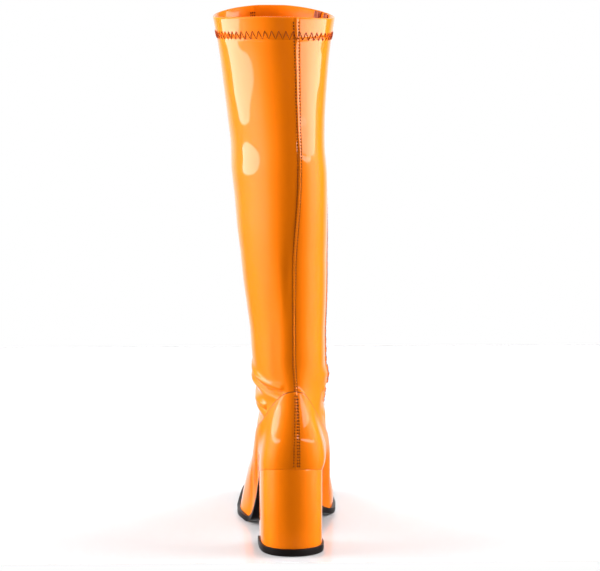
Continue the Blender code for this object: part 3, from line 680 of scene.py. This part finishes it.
def skin_point(side, u, v, relief, lift=0.0):
    """A point on the finished skin and its outward direction."""
    du, dv = 0.002, 0.002
    us = np.array([max(u - du, 0.0), u, min(u + du, 1.0)])
    high = 3.0 if v > 1 else 1.0
    low = 1.0 if v > 1 else 0.0
    vs = np.array([max(v - dv, low), v, min(v + dv, high)])
    grid = skin(us, side, vs)
    run = (grid[1, 2] - grid[1, 0]) * side
    normal = np.cross(run, grid[2, 1] - grid[0, 1])
    normal /= np.linalg.norm(normal)
    raised = relief(grid[1:2, 1:2], np.array([side]), np.array([u]), vs[1:2])[0, 0]
    return grid[1, 1] + normal * (raised + lift), normal


def ring_at_height(side, u, height):
    """Ring number at which a column reaches a height."""
    if height >= SHAFT_START:
        return 2 + (height - SHAFT_START) / (BOOT_HEIGHT - SHAFT_START)
    v = np.linspace(0, 2, 201)
    return float(np.interp(height, skin(np.array([u]), side, v)[:, 0, 2], v))


def bare(grid, side, column, v):
    """No relief: the smooth skin under the seams and welts."""
    return np.zeros(grid.shape[:2])


def pad(side, left, right, low, high, inner, outer):
    """A closed flat piece on the skin between two columns and two rings, from one depth to another."""
    us, vs = np.linspace(left, right, 9), np.linspace(low, high, 9)
    grid = skin(us, side, vs)
    tangent, climb = np.gradient(grid, axis=1) * side, np.gradient(grid, axis=0)
    normal = np.cross(tangent, climb)
    normal /= np.linalg.norm(normal, axis=2)[:, :, None]
    inset = np.ones((9, 9, 1))
    inset[[0, -1]] = inset[:, [0, -1]] = 0.35
    points = np.concatenate([(grid + normal * inner).reshape(-1, 3),
                             (grid + normal * (inner + (outer - inner) * inset)).reshape(-1, 3)])
    index = np.arange(81).reshape(9, 9)
    rim = list(index[0]) + list(index[1:, -1]) + list(index[-1, -2::-1]) + list(index[-2:0:-1, 0])
    faces = []
    for i in range(8):
        for j in range(8):
            face = [index[i, j], index[i, j + 1], index[i + 1, j + 1], index[i + 1, j]]
            faces += [face[::-1], [k + 81 for k in face]]
    for k, a in enumerate(rim):
        b = rim[(k + 1) % len(rim)]
        faces.append([a, b, b + 81, a + 81])
    flip = side * (outer - inner) < 0
    return points, [f[::-1] for f in faces] if flip else faces


def stitch_run(path, pitch, thick):
    """Stitches along points with outward directions: each covers most of its pitch."""
    points = np.array([p for p, _ in path])
    outs = np.array([n for _, n in path])
    run = length_along(points)
    made = []
    count = int(run[-1] / pitch)
    for k in range(count):
        a, b = k * pitch, (k + STITCH_SHARE) * pitch
        start = np.array([np.interp(a, run, points[:, j]) for j in range(3)])
        end = np.array([np.interp(b, run, points[:, j]) for j in range(3)])
        out = np.array([np.interp((a + b) / 2, run, outs[:, j]) for j in range(3)])
        made.append(stitch(start, end, out / np.linalg.norm(out), thick))
    return made


class BootSizes(bpy.types.PropertyGroup):
    """Sizes that a user may change on the visible pieces."""
    stitch_pitch: FloatProperty(
        name="Stitch pitch", description="Length from one seam stitch to the next", default=0.0026, min=0.001,
        unit="LENGTH")
    thread: FloatProperty(
        name="Thread", description="Thickness of the sewing thread", default=0.0008, min=0.0001,
        unit="LENGTH")
    zigzag_pitch: FloatProperty(
        name="Zigzag pitch", description="Width of one zigzag of the hem's stitching", default=0.0059,
        unit="LENGTH")
    zigzag_height: FloatProperty(
        name="Zigzag height", description="Height of the hem's zigzag", default=0.0072, unit="LENGTH")
    coat_ripple: FloatProperty(
        name="Coat ripple", description="Depth of the patent coat's ripples in mm", default=0.19, min=0.0,
        max=2.0)
    zip_coil_pitch: FloatProperty(
        name="Coil pitch", description="Length of one turn of the zip's coil", default=0.0014, unit="LENGTH")
    leg_columns: IntProperty(
        name="Leg columns", description="Columns of each half of the leg", default=104, min=40)


class BootColours(bpy.types.PropertyGroup):
    """Colours of the boot, as sRGB values."""
    patent: FloatVectorProperty(
        name="Patent", description="Dye under the patent coat", default=(0.945, 0.462, 0.0), size=3,
        subtype="COLOR_GAMMA", min=0, max=1)
    thread: FloatVectorProperty(
        name="Thread", description="Sewing thread", default=(0.42, 0.16, 0.03), size=3, subtype="COLOR_GAMMA",
        min=0, max=1)
    sole: FloatVectorProperty(
        name="Sole", description="Outsole and top lift", default=(0.10, 0.08, 0.08), size=3,
        subtype="COLOR_GAMMA", min=0, max=1)


class BOOT_OT_upper(bpy.types.Operator):
    """Leg and foot of the upper, each a folded patent wall on the frame's one wall"""
    bl_idname = "boot.upper"
    bl_label = "Upper"

    def execute(self, context):
        patent = patent_material("patent_leather_poured_coat", hex_of(colours().patent), sizes().coat_ripple)
        u = columns_of(sizes().leg_columns)
        low = np.concatenate([[1.0, 1.004, 1.012], np.linspace(1.03, 1.9, 96), np.linspace(1.91, 2.9, 118)])
        v = np.concatenate([low, np.linspace(2.905, 3.0, 40)])
        normal, outside = skin_grid(leg_relief, v, u)
        outside[:, :, 2] = np.minimum(outside[:, :, 2], BOOT_HEIGHT)
        inner_v = np.unique(np.concatenate([np.linspace(1.0, 2.9, 44), [2.93, 2.936, 2.97, 3.0]]))
        inner_grid, _, _ = around(u, inner_v)
        inner_normal = ring_normals(inner_grid)
        step = (FOOT_WALL - SHAFT_WALL) * (1 - ramp(inner_v, 1.0, 1.7))
        wall = SHAFT_WALL + step + 0.0006 * ramp(inner_v, 2.93, 2.936)
        lining = inner_grid - inner_normal * wall[:, None, None]
        level = normal[-1].copy()
        level[:, 2] = 0
        level /= np.linalg.norm(level, axis=1)[:, None]
        top = rounded_row(outside[-1], level, 0.0022, 5)
        for ring in top:
            ring[:, 2] = np.minimum(ring[:, 2], BOOT_HEIGHT + 0.0008)
        leg = closed_tube("leg_of_upper", outside, lining, top)
        give(leg, "boot", "patent_upper", patent, "upper")
        v = np.concatenate([np.linspace(0, 0.97, 96), [0.985, 0.993, 1.0]])
        _, outside = skin_grid(foot_relief, v, u)
        inner_v = np.linspace(0, 1, 40)
        inner_grid, _, _ = around(u, inner_v)
        inner_normal = ring_normals(inner_grid)
        inner_normal[0, :, 2] = 0
        inner_normal[0] /= np.linalg.norm(inner_normal[0], axis=1)[:, None]
        lining = inner_grid - inner_normal * FOOT_WALL
        for edge in (outside[0], lining[0]):
            edge[:, 2] = feather_height(edge[:, 0], edge[:, 1])
        outside[0, :, 2] -= GAP
        foot = closed_tube("foot_of_upper", outside, lining)
        give(foot, "boot", "patent_upper", patent, "upper")
        return {"FINISHED"}


class BOOT_OT_stitching(bpy.types.Operator):
    """Seam stitches, the hem's zigzag and the topstitching beside the zip"""
    bl_idname = "boot.stitching"
    bl_label = "Stitching"

    def execute(self, context):
        thread = thread_material("polyester_sewing_thread", hex_of(colours().thread))
        pitch, thick = sizes().stitch_pitch, sizes().thread
        made = []
        for side in (1, -1):
            for column, relief, rings in ((LEG_ROW, leg_relief, np.linspace(1.03, 2.995, 150)),
                                          (FOOT_ROWS[0], foot_relief, np.linspace(0.03, 0.97, 60)),
                                          (1 - FRONT_ROW, leg_relief, np.linspace(1.03, 2.995, 150))):
                path = [skin_point(side, column, v, relief) for v in rings]
                made += stitch_run(path, pitch, thick)
            for column in (1.0, 1 - FRONT_INSIDE_ROW):
                path = [skin_point(side, column, v, bare, -COLLAR_WALL - 0.0001)
                        for v in np.linspace(2.88, 2.99, 40)]
                made += stitch_run([(point, -out) for point, out in path], pitch, thick)
        path = [skin_point(1, FOOT_ROWS[1], v, foot_relief) for v in np.linspace(0.03, 0.95, 60)]
        made += stitch_run(path, pitch, thick)
        give(many_solids("seam_stitches", made), "boot", "patent_upper", thread)
        # Cut edge of the leather round the seam between foot and leg: a thin dull, fibrous tube, coloured
        # near black as painted shade of the seam's step, a thin dark line round the seam
        tones = ("#3A1604", "#571F06")
        dyed = surface("topline_edge_painted_seam_shade", tones, 0.7, "Noise", 0.5, 0.05)
        made = []
        for side in (1, -1):
            path = [skin_point(side, u, 0.998, foot_relief) for u in np.linspace(0.0, 1.0, 180)]
            made.append(strand([p for p, _ in path], np.array([n for _, n in path]), 0.00038, 6))
        give(many_solids("topline_edge_with_painted_shade", made), "boot", "patent_upper", dyed)
        made = []
        for offset in ZIP_ROWS:
            rings = np.linspace(ZIP_START + 0.03, 2.995, 170)
            path = [skin_point(1, ZIP_MIDDLE + offset, v, leg_relief) for v in rings]
            made += stitch_run(path, pitch, thick * 0.8)
        give(many_solids("zip_topstitching", made), "boot", "patent_upper", thread)
        rust = thread_material("polyester_hem_thread", "#A8430F")
        made = []
        half = sizes().zigzag_height / 2
        middle = BOOT_HEIGHT - ZIGZAG_DROP
        for side in (1, -1):
            us = np.linspace(0, 1, 241)
            ring = skin(us, side, np.array([ring_at_height(side, 0, middle)]))[0]
            run = length_along(ring)
            legs = int(round(run[-1] / (sizes().zigzag_pitch / 2)))
            at = np.interp(np.linspace(0, run[-1], legs + 1), run, us)
            ends = []
            for k, u in enumerate(at):
                level = middle + (half if k % 2 else -half)
                ends.append(skin_point(side, float(u), ring_at_height(side, u, level), leg_relief, 0.0001))
            for (a, na), (b, nb) in zip(ends[:-1], ends[1:]):
                made.append(stitch(a, b, (na + nb) / np.linalg.norm(na + nb), thick * 0.75))
        give(many_solids("hem_zigzag", made), "boot", "patent_upper", rust)
        return {"FINISHED"}


def seat_plan(edge, count):
    """Plan of the heel on each side from its back to its breast, grown by an edge."""
    sides = []
    for side in (-1, 1):
        grown = widened(side_path(side), side, edge)
        sides.append(along_path(grown, np.linspace(0, path_share(grown, HEEL_DEPTH + edge), count)))
    sides[0][0] = sides[1][0] = (sides[0][0] + sides[1][0]) / 2
    return sides


class BOOT_OT_heel(bpy.types.Operator):
    """Covered heel block and the black top lift under it"""
    bl_idname = "boot.heel"
    bl_label = "Heel"

    def execute(self, context):
        patent = patent_material("patent_leather_heel_cover", hex_of(colours().patent),
                                 sizes().coat_ripple * 0.8)
        outer, inner = seat_plan(0.0, 44)
        block = slab("heel_cover", outer, inner, lambda x, y: feather_height(x, y) - GAP,
                     lambda x, y: 0 * x + LIFT_THICKNESS + 0.0002, 8, 0.0008)
        give(block, "boot", "patent_heel_cover", patent, "heel_block")
        rubber = rubber_material("top_lift_rubber_trimmed", hex_of(colours().sole), 0.38)
        outer, inner = seat_plan(LIFT_EDGE, 44)
        lift = slab("top_lift_rubber", outer, inner, lambda x, y: 0 * x + LIFT_THICKNESS,
                    lambda x, y: 0 * x, 8, 0.0006)
        give(lift, "boot", "top_lift_rubber", rubber, "top_lift")
        return {"FINISHED"}


class BOOT_OT_sole(bpy.types.Operator):
    """Outsole with its ledge, and the insole"""
    bl_idname = "boot.sole"
    bl_label = "Sole"

    def execute(self, context):
        rubber = rubber_material("outsole_rubber_moulded", hex_of(colours().sole), 0.34)
        sides = []
        for side in (-1, 1):
            path = side_path(side)
            path = widened(path, side, LEDGE * ramp(path[:, 1], 0.23 * SOLE_LENGTH, 0.42 * SOLE_LENGTH))
            sides.append(along_path(path, np.linspace(path_share(path, HEEL_DEPTH + GAP), 1, 110)))

        def top(x, y):
            return feather_height(x, y) - SOLE_GAP + 0.0002

        def bottom(x, y):
            thicker = (SOLE_THICKNESS - WAIST_THICKNESS) * ramp(y, 0.30 * SOLE_LENGTH, 0.52 * SOLE_LENGTH)
            return np.maximum(feather_height(x, y) - SOLE_GAP - WAIST_THICKNESS - thicker, 0)

        sole = slab("outsole_rubber", sides[0], sides[1], top, bottom, 14, 0.0007)
        give(sole, "boot", "sole_rubber", rubber, "outsole")
        # Woven sock cloth: matt, with a small knotted grain
        board = surface("insole_sock_cloth", ("#C9822F", "#A96A22"), 0.8, "Voronoi", 0.9, 0.08)
        rows = np.linspace(0, 1, 90)
        sides = [along_path(widened(side_path(s), s, -FOOT_WALL - 0.0006), rows) for s in (-1, 1)]
        for end in (0, -1):
            sides[0][end] = sides[1][end] = (sides[0][end] + sides[1][end]) / 2
        sock = slab("insole_sock", sides[0], sides[1],
                    lambda x, y: feather_height(x, y) + GAP + INSOLE_THICKNESS,
                    lambda x, y: feather_height(x, y) + GAP, 10, 0.0004)
        give(sock, "boot", "insole_board", board, "insole")
        return {"FINISHED"}


class BOOT_OT_zip(bpy.types.Operator):
    """Closed coil zip on its tape, the folded tape ends, the slider and the pull"""
    bl_idname = "boot.zip"
    bl_label = "Zip"

    def execute(self, context):
        # Woven polyester tape: matt, with its cross threads as bands, drawn coarser than real to show
        tape = surface("woven_zip_tape", ("#A8502A", "#7E3316"), 0.75, "Wave", 0.7, 0.06, (0.3, 0.3, 1.0))
        # Nylon coil: smooth drawn wire with a soft shine
        coil = surface("nylon_zip_coil", ("#9A3A12", "#84300E"), 0.35, "Noise", 1.2, 0.01, IOR=1.53)
        # Bright nickel plate on cast zinc: a mirror with a faint cast waviness
        metal = surface("nickel_plated_zinc", ("#BDBAB4", "#A9A6A0"), 0.2, "Noise", 1.6, 0.012, Metallic=1.0)
        rings = np.linspace(ZIP_START, 2.985, 260)
        path, outs = [], []
        for v in rings:
            here, out = skin_point(1, ZIP_MIDDLE, v, leg_relief, 0.0005)
            path.append(here)
            outs.append(out)
        path, outs = np.array(path), np.array(outs)
        run = length_along(path)
        sideways = np.cross(np.gradient(path, axis=0), outs)
        sideways /= np.linalg.norm(sideways, axis=1)[:, None]
        strip = []
        for i in range(len(path)):
            for across, lift in ((-2.9, 0.0), (-2.9, 0.25), (2.9, 0.25), (2.9, 0.0)):
                strip.append(path[i] + sideways[i] * across * MM + outs[i] * lift * MM)
        ribbon = mesh_object("zip_tape", np.array(strip), tube_faces(len(path), 4), False)
        give(ribbon, "boot", "zip_chain", tape, "zip_chain")
        parts = []
        pitch = sizes().zip_coil_pitch
        for k in range(int(run[-1] / pitch)):
            s = (k + 0.5) * pitch
            at = [np.interp(s, run, path[:, j]) for j in range(3)]
            out = np.array([np.interp(s, run, outs[:, j]) for j in range(3)])
            way = np.array([np.interp(s, run, sideways[:, j]) for j in range(3)])
            line = np.cross(out, way)
            ends = []
            for share in (-1.0, -0.6, 0.0, 0.6, 1.0):
                lift = 0.62 - 0.30 * share * share
                slant = 0.22 * share
                ends.append(np.array(at) + way * share * 2.0 * MM + line * slant * MM + out * lift * MM)
            parts.append(strand(ends, out[None, :].repeat(5, 0), 0.00036, 6))
        give(many_solids("zip_coil", parts), "boot", "zip_chain", coil)
        for name in ("zip_slider", "zip_pull"):
            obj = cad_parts[name]
            obj.data.materials.clear()
            obj.data.materials.append(metal)
        parts = []
        for left, right in ((0.435, 0.485), (0.515, 0.575)):
            parts.append(pad(1, left, right, 2.952, 3.0, -COLLAR_WALL + 0.0001, -COLLAR_WALL - 0.0016))
        give(many_solids("zip_tape_ends", parts), "boot", "zip_chain", tape)
        return {"FINISHED"}


# Soft lights: name, azimuth in degrees from the camera's side and positive to the right, distance, height,
# size, radiance, shape, turn about its own axis and tilt from facing down in degrees, and what it lights
LIGHTS = (
    ("left_fill", -98, 1.5, 0.55, (1.3, 2.0), 12.5, "RECTANGLE", 0, 90, "dye"),
    ("right_fill", 96, 1.5, 0.55, (1.3, 2.0), 13.0, "RECTANGLE", 0, 90, "dye"),
    ("front_fill", -8, 2.2, 0.8, (1.0, 1.0), 7.5, "RECTANGLE", 0, 90, "dye"),
    ("top_box", 180, 0.5, 1.9, (1.6, 1.6), 3.0, "RECTANGLE", 0, 0, "dye"),
    ("left_box", -104, 1.2, 0.205, (1.15, 0.15), 3.6, "ELLIPSE", 7, 90, "gloss"),
    ("right_box", 82, 1.2, 0.385, (1.95, 0.28), 3.6, "RECTANGLE", 0, 90, "gloss"),
    ("left_counter_box", -78, 3.0, 0.20, (3.0, 0.12), 4.5, "ELLIPSE", 0, 90, "gloss"),
    ("right_counter_box", 55, 3.0, 0.03, (3.6, 0.10), 5.0, "ELLIPSE", 0, 90, "gloss"),
    ("left_high_box", -98, 1.5, 0.95, (1.2, 0.5), 3.0, "RECTANGLE", 0, 90, "gloss"),
    ("right_high_box", 98, 1.5, 0.95, (1.2, 0.5), 3.0, "RECTANGLE", 0, 90, "gloss"),
)


def softbox(name, azimuth, distance, middle, size, radiance, shape, roll, pitch, seen_by):
    """One soft light, turned to the boot; it lights the dye or shows in the gloss alone."""
    light = bpy.data.lights.new(name, "AREA")
    light.shape = shape
    light.size, light.size_y = size
    area = size[0] * size[1] * (math.pi / 4 if shape == "ELLIPSE" else 1.0)
    light.energy = radiance * math.pi * area
    lamp = bpy.data.objects.new(name, light)
    bpy.context.scene.collection.objects.link(lamp)
    angle = math.radians(azimuth)
    lamp.location = (distance * math.sin(angle), -distance * math.cos(angle) + 0.01, middle)
    facing = Matrix.Rotation(angle, 3, "Z") @ Matrix.Rotation(math.radians(pitch), 3, "X")
    lamp.rotation_euler = (facing @ Matrix.Rotation(math.radians(roll), 3, "Z")).to_euler()
    lamp.visible_camera = False
    lamp.visible_diffuse = seen_by != "gloss"
    lamp.visible_glossy = seen_by != "dye"


class BOOT_OT_stage(bpy.types.Operator):
    """Pale glossy table, soft studio light and the camera at the photo's angle"""
    bl_idname = "boot.stage"
    bl_label = "Stage"

    def execute(self, context):
        scene = bpy.context.scene
        # Sprayed white lacquer: pale and glossy, with a long faint orange peel
        table = surface("white_lacquered_table", ("#C6C6C8", "#C3C3C5"), 0.08, "Noise", 40.0,
                        0.01, IOR=1.42)
        mesh = bpy.data.meshes.new("table")
        front, back, side = -0.047, 0.9, 1.4
        mesh.from_pydata([(x, y, 0) for y in (front, back) for x in (-side, side)], [], [(0, 1, 3, 2)])
        floor = bpy.data.objects.new("table", mesh)
        mesh.materials.append(table)
        scene.collection.objects.link(floor)
        floor.location.z = -0.0002
        floor.visible_glossy = False
        world = bpy.data.worlds.new("studio")
        world.use_nodes = True
        tree = world.node_tree
        shade = tree.nodes["Background"]
        place = node(tree, "ShaderNodeTexCoord")
        split = node(tree, "ShaderNodeSeparateXYZ", links={"Vector": place.outputs["Generated"]})
        fade = node(tree, "ShaderNodeMapRange", {"interpolation_type": "SMOOTHSTEP"},
                    {"From Min": 0.75, "From Max": 1.0, "To Min": 0.03, "To Max": 0.95},
                    {"Value": split.outputs["Y"]})
        ray = node(tree, "ShaderNodeLightPath")
        pick = node(tree, "ShaderNodeMath", {"operation": "MAXIMUM"},
                    links={0: fade.outputs["Result"], 1: ray.outputs["Is Camera Ray"]})
        tree.links.new(pick.outputs["Value"], shade.inputs["Strength"])
        shade.inputs["Color"].default_value = (1, 1, 1, 1)
        scene.world = world
        for values in LIGHTS:
            softbox(*values)
        camera = bpy.data.cameras.new("photo_camera")
        camera.sensor_width = 36.0
        camera.lens = 36.0 * 3028.0 / 600.0
        camera.clip_end = 20.0
        view = bpy.data.objects.new("photo_camera", camera)
        scene.collection.objects.link(view)
        yaw, pitch = math.radians(1.5), math.radians(10.0)
        forward = np.array([math.sin(yaw), math.cos(yaw), 0.0])
        right = np.array([math.cos(yaw), -math.sin(yaw), 0.0])
        view.location = -2.5 * forward + 0.0037 * right + np.array([0, 0, 0.675]) - ORIGIN
        view.rotation_euler = (math.pi / 2 - pitch, 0.0, -yaw)
        scene.camera = view
        scene.view_settings.view_transform = "Standard"
        return {"FINISHED"}


class BOOT_PT_panel(bpy.types.Panel):
    """Lists the boot's sizes, colours and pieces"""
    bl_idname = "BOOT_PT_panel"
    bl_label = "Go go boot"
    bl_space_type = "VIEW_3D"
    bl_region_type = "UI"
    bl_category = "Boot"

    def draw(self, context):
        layout = self.layout
        for group in (context.scene.boot_sizes, context.scene.boot_colours):
            for name in type(group).__annotations__:
                layout.prop(group, name)
        for operator in OPERATORS:
            layout.operator(operator.bl_idname)


OPERATORS = (BOOT_OT_upper, BOOT_OT_stitching, BOOT_OT_heel, BOOT_OT_sole, BOOT_OT_zip, BOOT_OT_stage)
CLASSES = (BootSizes, BootColours, *OPERATORS, BOOT_PT_panel)


def register():
    for entry in CLASSES:
        bpy.utils.register_class(entry)
    bpy.types.Scene.boot_sizes = PointerProperty(type=BootSizes)
    bpy.types.Scene.boot_colours = PointerProperty(type=BootColours)


def unregister():
    del bpy.types.Scene.boot_colours
    del bpy.types.Scene.boot_sizes
    for entry in reversed(CLASSES):
        bpy.utils.unregister_class(entry)


def main():
    register()
    bpy.ops.boot.upper()
    bpy.ops.boot.stitching()
    bpy.ops.boot.heel()
    bpy.ops.boot.sole()
    bpy.ops.boot.zip()
    bpy.ops.boot.stage()


if __name__ == "__main__":
    main()
